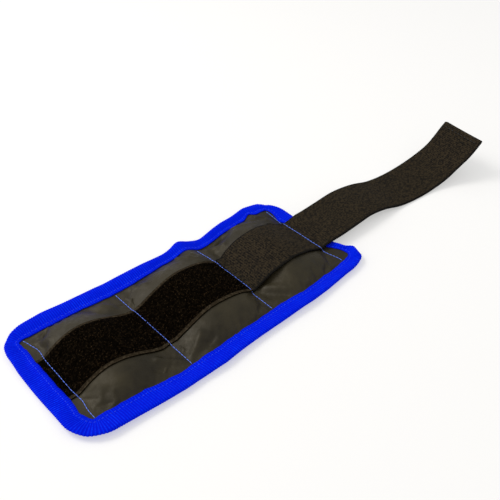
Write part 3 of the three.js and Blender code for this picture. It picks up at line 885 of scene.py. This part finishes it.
def tube_piece(name, material, rings, along, v, part=slice(None)):
    """Part of a strip's rings, closed by a flat cap at each end, with along and v as the cloth's uv."""
    turn = np.ones(EDGE_POINTS)
    uv = pairs(along, np.concatenate([v, turn * v[-1], v[::-1], turn * v[0]]))[part]
    normals, rings = ring_normals(rings)[part], rings[part]
    count, sides = rings.shape[:2]
    cap = count * sides
    faces = list(grid_faces(count, sides, wrap=True))
    faces.append(tuple(range(cap, cap + sides)))
    faces.append(tuple(reversed(range(cap + sides, cap + 2 * sides))))
    way = unit(np.gradient(rings, axis=0).mean(1))
    facing = [normals.reshape(-1, 3), np.tile(-way[0], (sides, 1)), np.tile(way[-1], (sides, 1))]
    points = np.concatenate([rings.reshape(-1, 3), rings[0], rings[-1]])
    uv = np.concatenate([uv.reshape(-1, 2), uv[0], uv[-1]])
    return piece(name, points, faces, material, uv, np.concatenate(facing))


def blurred(values, sigma, axis=0):
    """Gaussian blur along an axis, in samples."""
    reach = int(3 * sigma) + 1
    kernel = np.exp(-0.5 * (np.arange(-reach, reach + 1) / sigma) ** 2)
    kernel /= kernel.sum()
    pad = [(0, 0)] * values.ndim
    pad[axis] = (reach, reach)
    padded = np.pad(values, pad, mode="edge")
    return np.apply_along_axis(lambda row: np.convolve(row, kernel, "valid"), axis, padded)


def bridging(u, v, arch, gap):
    """Middle surface of a strip lying over the pockets, stiffer than they are: its edges stand off."""
    gu, gv = np.meshgrid(u, v, indexing="ij")
    ground = top.at(gu, gv)
    rest = ground[..., 2] + gap
    sag = SAG * (gv / HALF_STRIP) ** 2
    height = np.maximum(rest, profile(u, arch)[:, None] - sag)
    even = blurred(blurred(height, STIFFNESS / (u[1] - u[0])), 1.0, 1)
    return np.concatenate([ground[..., :2], np.maximum(even, rest)[..., None]], -1)


# ---- Loop strip ----

LOOP_BACKING = 0.8
LOOP_GAP = 0.15
SELVEDGE = 2.5
PILE_LIFT = 0.45
PILE_ROUGHNESS = 0.10
LOOP_STATION = 0.8
LOOP_START = -END_SEAM - 5.0
LOOP_PAST_SEAM = 1.2
PILE_START = LOOP_START + 1.7
PILE_PER_MM2 = 0.9
PILE_HEIGHT, PILE_SPREAD = (0.45, 0.95), (0.3, 0.55)  # least and most, of a loop and of half its width
PILE_LEAN = 0.25
PILE_YARN = 0.13
PILE_ROOT = 0.15  # how deep the loops start


def loop_strip():
    u = np.arange(LOOP_START, FOLD_U + LOOP_PAST_SEAM, LOOP_STATION)
    v = np.r_[-HALF_STRIP, np.linspace(-HALF_STRIP + SELVEDGE, HALF_STRIP - SELVEDGE, 31), HALF_STRIP]
    v = np.insert(v, [1, len(v) - 1], [-HALF_STRIP + SELVEDGE * 0.8, HALF_STRIP - SELVEDGE * 0.8])
    middle = bridging(u, v, STRIP_ARCH, LOOP_BACKING / 2 + LOOP_GAP)
    rough = RANDOM.normal(0, PILE_ROUGHNESS, middle.shape[:2])
    rings = ribbon_rings(middle, LOOP_BACKING / 2)
    pile = smooth((HALF_STRIP - SELVEDGE * 0.75 - np.abs(v)) / 0.8)
    facing = grid_normals(middle)
    clear = smooth((u - LOOP_START) / 3)[:, None]
    rings[:, : len(v)] += facing * ((PILE_LIFT + rough) * pile * clear)[..., None]
    return u, v, rings, facing


def lighten_edges(obj, rings, v_count):
    """Lighter tops for the strip's woven edges, partly own colour and partly painted light; their rounded
    sides stay dark as painted shade.
    """
    obj.data.materials.append(LOOP_EDGE)
    count, sides = rings.shape[:2]
    column = np.arange((count - 1) * sides) % sides
    slots = np.r_[np.isin(column, (0, 1, v_count - 3, v_count - 2)), 0, 0]
    obj.data.polygons.foreach_set("material_index", slots)


def loop_pieces():
    u, v, rings, facing = loop_strip()
    split = int(np.argmin(np.abs(u)))
    for word, side, part in (("left", -1, slice(0, split + 1)), ("middle", 1, slice(split, None))):
        strip = tube_piece(f"loop_strip_{word}_backing", LOOP_BASE, rings, u, v, part)
        lighten_edges(strip, rings[part], len(v))
        pile = pile_loops(f"loop_pile_{word}", Sheet(u[part], v, rings[part, : len(v)], facing[part]))
        nodes = ["loop_strip_left", "loop_strip_middle"] if side < 0 else ["loop_strip_middle"]
        tie(strip, nodes, fold=side)
        tie(pile, nodes, fold=side)


def pile_loops(name, ground):
    """Tiny standing loops of yarn, scattered over the strip between its woven edges."""
    low, high = max(ground.us[0], PILE_START), ground.us[-1] - 0.2
    edge = HALF_STRIP - SELVEDGE - 0.3
    count = int((high - low) * 2 * edge * PILE_PER_MM2)
    u, v = RANDOM.uniform(low, high, count), RANDOM.uniform(-edge, edge, count)
    root, up = ground.at(u, v), ground.normal(u, v)
    turn = RANDOM.uniform(0, math.pi, count)
    way = np.stack([np.cos(turn), np.sin(turn), np.zeros(count)], -1)
    side = np.cross(up, way)
    height, spread = RANDOM.uniform(*PILE_HEIGHT, count), RANDOM.uniform(*PILE_SPREAD, count)
    lean = RANDOM.normal(0, PILE_LEAN, (count, 1)) * side
    points = []
    for angle in np.linspace(0, math.pi, 4):
        centre = root + way * (spread * math.cos(angle))[:, None]
        centre = centre + (up + lean) * (height * math.sin(angle) - PILE_ROOT)[:, None]
        other = unit(np.cross(up * math.cos(angle) + way * math.sin(angle), side))
        for a in (0, 2 * math.pi / 3, 4 * math.pi / 3):
            points.append(centre + PILE_YARN * (side * math.cos(a) + other * math.sin(a)))
    return small_tubes(name, np.stack(points, 1), 3, LOOP_PILE)


loop_pieces()

# ---- Strap ----

STRAP_HALF = 1.0
STRAP_RIB = 0.13
STRAP_EDGE_RIB = 0.3
STRAP_LIE = [  # past the end seam, aside, height
    (0, 0, 4.6), (4, -0.3, 6.2), (13, -1.2, 8.6), (24, -1.6, 9.3), (46, -1, 10.2), (70, 0.2, 10.7),
    (93, -0.5, 8.2), (117, -3, 3.0), (140, -5, 1.6), (163, -6.8, 3.2), (187, -10, 10.0),
    (207, -14.4, 23.5), (224, -17, 39),
]
STRAP_GAP = 0.2  # between the strap and the cover under it
STRAP_PAST_SEAM = 1.6
SETTLE = 9  # past the end seam the strap leaves its sewn shape over this far
CUP, CUP_FROM, CUP_OVER, CUP_WAVE = 0.5, 20, 60, 33  # how the free strap bows across its width
HEM = 5.5
HEM_ROW = 1.6  # from the hem's end to its stitches
HEM_NARROWER = 0.09  # the turned-under end is drawn in by this share of its width
HEM_TURN = 1.15  # radius of the fold at the tip
# Name, the bodies it joins, where it ends past the end seam, how far its bend reaches, and its nodes
STRAP_PARTS = [
    ("strap_sewn_root", None, -40, None, ["strap_anchor"]),
    ("strap_over_end", ("right_pocket", "strap_base_link"), 52, 10, ["strap_anchor", "strap_root"]),
    ("strap_middle_web", ("strap_base_link", "strap_middle_link"), 130, 11, ["strap_root", "strap_middle"]),
    ("strap_tip_web", ("strap_middle_link", "strap_tip_link"), None, 8, ["strap_middle", "strap_tip"]),
]


def curve(points, step):
    """A smooth line through points, with stations at an even step."""
    points = np.array(points, float)
    knots = reach_of(points)
    h = np.diff(knots)[:, None]
    slope = np.diff(points, axis=0) / h
    inner = (slope[:-1] * h[1:] + slope[1:] * h[:-1]) / (h[:-1] + h[1:])
    tangent = np.concatenate([slope[:1], inner, slope[-1:]])
    t = np.linspace(0, knots[-1], 4000)
    i = np.clip(np.searchsorted(knots, t, side="right") - 1, 0, len(h) - 1)
    w = ((t - knots[i]) / h[i, 0])[:, None]
    a, b, ta, tb = points[i], points[i + 1], tangent[i] * h[i], tangent[i + 1] * h[i]
    line = a * (1 + 2 * w) * (1 - w) ** 2 + ta * w * (1 - w) ** 2
    line += b * w**2 * (3 - 2 * w) + tb * w**2 * (w - 1)
    reach = reach_of(line)
    along = np.arange(0, reach[-1], step)
    return along, along_line(along, reach, line)


def strap_middle():
    """Middle surface of the strap from its sewn root over the last pocket to its folded tip."""
    v = np.linspace(-HALF_STRIP, HALF_STRIP, 25)
    u = np.arange(END_SEAM, FOLD_U + STRAP_PAST_SEAM, -STRAP_STATION)[::-1]
    sewn = bridging(u, v, STRAP_ARCH, STRAP_HALF + STRAP_GAP)
    along, line = curve([(END_SEAM + x, y, z) for x, y, z in STRAP_LIE], STRAP_STATION)
    tangent = np.gradient(line, axis=0)
    across = unit(np.stack([-tangent[:, 1], tangent[:, 0], 0 * along], -1))
    free = line[:, None] + across[:, None] * v[:, None]
    settle = smooth(along / SETTLE)[:, None]
    free[..., 2] = sewn[-1, :, 2] * (1 - settle) + free[..., 2] * settle
    cup = CUP * smooth((along - CUP_FROM) / CUP_OVER) * np.cos(along / CUP_WAVE)
    free[..., 2] += cup[:, None] * (v / HALF_STRIP) ** 2
    return np.concatenate([sewn, free[1:]]), np.concatenate([u - END_SEAM, along[1:]]), v


def with_hem(middle, along):
    """Folds the strap's end under itself."""
    facing = grid_normals(middle)
    tip, up = middle[-1], facing[-1]
    onward = middle[-1] - middle[-2]
    step = np.linalg.norm(onward, axis=1).mean()
    onward = unit(onward)
    turn = [
        tip + onward * HEM_TURN * math.sin(a) - up * HEM_TURN * (1 - math.cos(a))
        for a in np.linspace(0, math.pi, 9)[1:]
    ]
    under = [middle[-1 - k] - facing[-1 - k] * 2 * HEM_TURN for k in range(1, round(HEM / step))]
    hem = np.array(turn + under)
    count = np.arange(1, len(hem) + 1)
    drawn_in = HEM_NARROWER * smooth(count / len(turn))[:, None, None]
    hem += (hem.mean(1, keepdims=True) - hem) * drawn_in
    return np.concatenate([middle, hem]), np.r_[along, along[-1] + count * step]


def strap_pieces():
    flat, along, v = strap_middle()
    middle, along = with_hem(flat, along)
    wave = np.cos(2 * math.pi * along / STRAP_RIB_PITCH)
    rings = ribbon_rings(middle, STRAP_HALF, STRAP_RIB * wave, STRAP_EDGE_RIB * wave)
    centre = middle[:, len(v) // 2] * MM
    bends = [None]
    for name in ("strap_base_bend", "strap_middle_bend", "strap_tip_bend"):
        bends.append(int(np.argmin(np.linalg.norm(centre - joint(name)["pos_m"], axis=1))))
    low = 0
    for (name, bodies, end, reach, nodes), bend in zip(STRAP_PARTS, bends):
        high = len(along) - 1 if end is None else int(np.argmin(np.abs(along - end)))
        obj = tube_piece(name, ELASTIC, rings, along, v, slice(low, high + 1))
        tie(obj, nodes, fold=0 if bodies else 1)
        if bodies:
            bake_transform(obj)
        low = high
    return flat, grid_normals(flat), along[: len(flat)], v, bends[1:]


strap_flat, strap_facing, strap_along, strap_v, strap_bends = strap_pieces()

# ---- Hook patch under the strap's tip ----

HOOK_BACKING = 0.45
HOOK_LENGTH = 50.0
HOOK_FROM_HEM = 1.5
HOOK_FROM_BEND = 8  # in stations
HOOK_GAP = 0.02
HOOK_SPACING = 1.9
HOOK_BORDER = 1.5
HOOK_SHAPE = [(0, -0.1), (0, 0.55), (0.12, 0.78), (0.36, 0.82), (0.5, 0.62)]  # onward and up
HOOK_WIRE, HOOK_TAPER = 0.14, 0.015
FIRST_LEANING = 3  # from this point of its shape on, a hook runs level


def hook_patch():
    end = len(strap_flat) - 1 - round((HEM + HOOK_FROM_HEM) / STRAP_STATION)
    start = max(strap_bends[2] + HOOK_FROM_BEND, end - round(HOOK_LENGTH / STRAP_STATION))
    part = slice(start, end)
    v, facing = strap_v[1:-1], strap_facing[part, 1:-1]
    middle = strap_flat[part, 1:-1] - facing * (STRAP_HALF + HOOK_BACKING + STRAP_RIB + HOOK_GAP)
    rings = ribbon_rings(middle, HOOK_BACKING)
    backing = tube_piece("hook_patch_backing", HOOK, rings, strap_along[part], v)
    hooks = hook_field(Sheet(strap_along[part], v, middle - facing * HOOK_BACKING, -facing))
    for obj in (backing, hooks):
        tie(obj, ["hook_patch"], body="strap_tip_link")


def hook_field(ground):
    """Rows of small stiff hooks."""
    rows = lambda lines: np.arange(lines[0] + HOOK_BORDER, lines[-1] - HOOK_BORDER, HOOK_SPACING)
    u, v = pairs(rows(ground.us), rows(ground.vs)).reshape(-1, 2).T
    root, up = ground.at(u, v), ground.normal(u, v)
    way = unit(ground.at(u + 0.5, v) - root)
    way *= np.where(RANDOM.uniform(size=len(u)) < 0.5, -1, 1)[:, None]
    side = np.cross(up, way)
    points = []
    for k, (x, z) in enumerate(HOOK_SHAPE):
        radius = HOOK_WIRE - HOOK_TAPER * k
        other = up if k >= FIRST_LEANING else way
        for a in (0, math.pi / 2, math.pi, 3 * math.pi / 2):
            round_wire = radius * (side * math.cos(a) + other * math.sin(a))
            points.append(root + way * x + up * z + round_wire)
    return small_tubes("hook_patch_hooks", np.stack(points, 1), 4, HOOK)


hook_patch()

# ---- Sewing ----

SEAM_STITCH = 3.3, 0.25, 0.26  # length, gap and the thread's radius
BINDING_STITCH = 2.2, 1.4, 0.2
HEM_STITCH = 2.8, 1.6, 0.42
STITCH_RINGS, STITCH_SIDES = 8, 6


def covering(*names):
    """A tree of the named pieces' surfaces, in millimetres, to lay thread on."""
    points, faces, start = [], [], 0
    for name in names:
        mesh = bpy.data.objects[name].data
        flat = np.zeros(len(mesh.vertices) * 3)
        mesh.vertices.foreach_get("co", flat)
        points += (flat.reshape(-1, 3) / MM).tolist()
        faces += [tuple(i + start for i in p.vertices) for p in mesh.polygons]
        start = len(points)
    return BVHTree.FromPolygons(points, faces)


def drape(tree, x, y, from_above=True):
    """Heights of the surface over or under points of the table."""
    start, way = (200.0, -1) if from_above else (-50.0, 1)
    out = []
    for px, py in zip(x, y):
        hit = tree.ray_cast(Vector((px, py, start)), Vector((0, 0, way)))[0]
        out.append(hit.z if hit else np.nan)
    out = np.array(out)
    known = ~np.isnan(out)
    return np.interp(np.arange(len(out)), np.nonzero(known)[0], out[known])


def stitches(name, line, up, stitch, material):
    """Separate stitches along a line, each one rising from a hole and going back down."""
    length, gap, radius = stitch
    reach = reach_of(line)
    count = int(reach[-1] // (length + gap))
    start = (reach[-1] - count * (length + gap) + gap) / 2 + np.arange(count) * (length + gap)
    t = np.linspace(0, 1, STITCH_RINGS)
    at = start[:, None] + t * length
    rise = unit(along_line(at, reach, up))
    lift = np.minimum(1, np.minimum(t, 1 - t) * 5) * 1.5 * radius - 0.5 * radius
    centre = along_line(at, reach, line) + rise * lift[:, None]
    along = unit(np.gradient(centre, axis=1))
    side = np.cross(along, rise)
    over = np.cross(side, along)
    angle = (np.arange(STITCH_SIDES) * 2 * math.pi / STITCH_SIDES)[:, None]
    ring = side[:, :, None] * np.cos(angle) + over[:, :, None] * np.sin(angle)
    thin = np.where((t > 0.05) & (t < 0.95), 1, 0.6)
    points = centre[:, :, None] + radius * ring * thin[:, None, None]
    return small_tubes(name, points.reshape(count, -1, 3), STITCH_SIDES, material)


def seam_line(u, tree, from_above):
    v = np.linspace(-OPEN_V + 0.5, OPEN_V - 0.5, 200)
    x, y = plan(np.full_like(v, u), v)
    z = np.maximum(drape(tree, x, y, from_above), 2.5 * SEAM_STITCH[2])
    return np.stack([x, y, blurred(z, 2)], -1)


def seams():
    above = covering(
        "outer_cover_left_cloth", "outer_cover_right_cloth", "loop_strip_left_backing",
        "loop_strip_middle_backing", "strap_sewn_root", "strap_over_end",
    )
    below = covering("inner_cover_left_cloth", "inner_cover_right_cloth")
    for word, u, body, fold in (
        ("left_end", -END_SEAM, "left_pocket", 0),
        ("left_fold", -FOLD_U, None, -1),
        ("right_fold", FOLD_U, None, 1),
        ("right_end", END_SEAM, "right_pocket", 0),
    ):
        for face, tree, sign in (("top", above, 1), ("under", below, -1)):
            line = seam_line(u, tree, sign > 0)
            up = np.tile([0.0, 0.0, sign], (len(line), 1))
            obj = stitches(f"seam_thread_{word}_{face}", line, up, SEAM_STITCH, SEAM_THREAD)
            tie(obj, [f"seam_thread_{word}"], body, fold)


def binding_stitches(word):
    """The row that sews the binding down, on both faces near its inner edge."""
    skin, facing = bindings[word]
    for face, column in (("top", 2), ("under", skin.shape[1] - 3)):
        name = f"binding_stitches_{word}_{face}"
        obj = stitches(name, skin[:, column], facing[:, column], BINDING_STITCH, BLUE_THREAD)
        tie(obj, binding_nodes(word), fold=SIDES[word])


def hem_stitches():
    """The row that holds the strap's hem."""
    k = len(strap_flat) - 1 - round((HEM - HEM_ROW) / STRAP_STATION)
    up = strap_facing[k]
    line = strap_flat[k] + up * (STRAP_HALF + STRAP_RIB)
    obj = stitches("strap_hem_stitches", line[1:-1], up[1:-1], HEM_STITCH, BLACK_THREAD)
    tie(obj, ["strap_tip"], body="strap_tip_link")


seams()
for word in SIDES:
    binding_stitches(word)
hem_stitches()

# ---- Camera, floor and light ----

AIM = Vector((84.5, 22.1, 0)) * MM
AZIMUTH, ELEVATION, DISTANCE = math.radians(-42), math.radians(38.7), 0.675
LENS = 52.0
FOOT_DEPTH = 3.0  # from a foot to the surface round it
ROOM_LIGHT = 0.98, 0.50  # at the left and at the right end of the room
WHITE = 1.0, 0.995, 0.985
LIT_PLACE = Vector((0.08, 0, 0))


def camera():
    eye = placed("camera", bpy.data.cameras.new("camera"))
    eye.data.lens = LENS
    looking = Vector((
        -math.sin(AZIMUTH) * math.cos(ELEVATION),
        math.cos(AZIMUTH) * math.cos(ELEVATION),
        -math.sin(ELEVATION),
    ))
    eye.location = AIM - looking * DISTANCE
    eye.rotation_euler = looking.to_track_quat("-Z", "Y").to_euler()
    return eye


def feet():
    """Markers on the bodies, at the points that reach lowest when the cuff or its strap folds down."""
    places = [
        (f"{word}_pocket", (side * HALF_LENGTH, v, NEUTRAL_Z))
        for word, side in SIDES.items()
        for v in (-HALF_WIDTH, HALF_WIDTH)
    ]
    links = ("strap_base_link", "strap_middle_link", "strap_tip_link")
    for body, station in zip(links, (*strap_bends[1:], -1)):
        places += [(body, strap_flat[station, edge]) for edge in (0, -1)]
    for body, place in places:
        foot = placed("foot")
        foot.location = Vector(place) * MM
        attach(foot, body)
        yield foot


def floor():
    """A pale table top, lit through so that shadows stay soft. It sinks to stay under a folding cuff."""
    shine = {"Emission_Color": WHITE, "Emission_Strength": 0.44, "Specular_IOR_Level": 0.05}
    material = Nodes("floor").finish((0.48, 0.478, 0.473), 0.9, **shine)
    obj = placed("floor", table_top("floor", 6, 6))
    obj.data.materials.append(material)
    sink = obj.driver_add("location", 2).driver
    names = []
    for number, foot in enumerate(feet()):
        reading = sink.variables.new()
        reading.name = f"foot_{number}"
        reading.type = "TRANSFORMS"
        reading.targets[0].id = foot
        reading.targets[0].transform_type = "LOC_Z"
        names.append(reading.name)
    sink.expression = f"min(0, min({', '.join(names)}) - {FOOT_DEPTH * MM})"


def softbox(name, place, size, watts, colour):
    lamp = placed(name, bpy.data.lights.new(name, "AREA"))
    lamp.data.size, lamp.data.energy, lamp.data.color = size, watts, colour
    lamp.location = place
    lamp.rotation_euler = (LIT_PLACE - Vector(place)).to_track_quat("-Z", "Y").to_euler()


def studio():
    """A white room, brighter on the side that the strap points away from."""
    world = bpy.data.worlds.new("studio")
    world.use_nodes = True
    tree = world.node_tree
    nodes = [tree.nodes.new(f"ShaderNode{kind}") for kind in ("TexCoord", "SeparateXYZ", "MapRange")]
    place, parts, glow = nodes
    tree.links.new(place.outputs["Generated"], parts.inputs[0])
    tree.links.new(parts.outputs["X"], glow.inputs["Value"])
    glow.inputs["From Min"].default_value = -1
    glow.inputs["To Min"].default_value, glow.inputs["To Max"].default_value = ROOM_LIGHT
    room = tree.nodes["Background"]
    room.inputs["Color"].default_value = (*WHITE, 1.0)
    tree.links.new(glow.outputs["Result"], room.inputs["Strength"])
    bpy.context.scene.world = world


bpy.context.scene.camera = camera()
floor()
studio()
softbox("key", (-0.5, 0.9, 1.3), 0.8, 16, (1.0, 0.97, 0.93))
softbox("fill", (0.9, -0.5, 1.2), 1.2, 2.0, (0.95, 0.97, 1.0))
bpy.context.scene.view_settings.view_transform = "Standard"
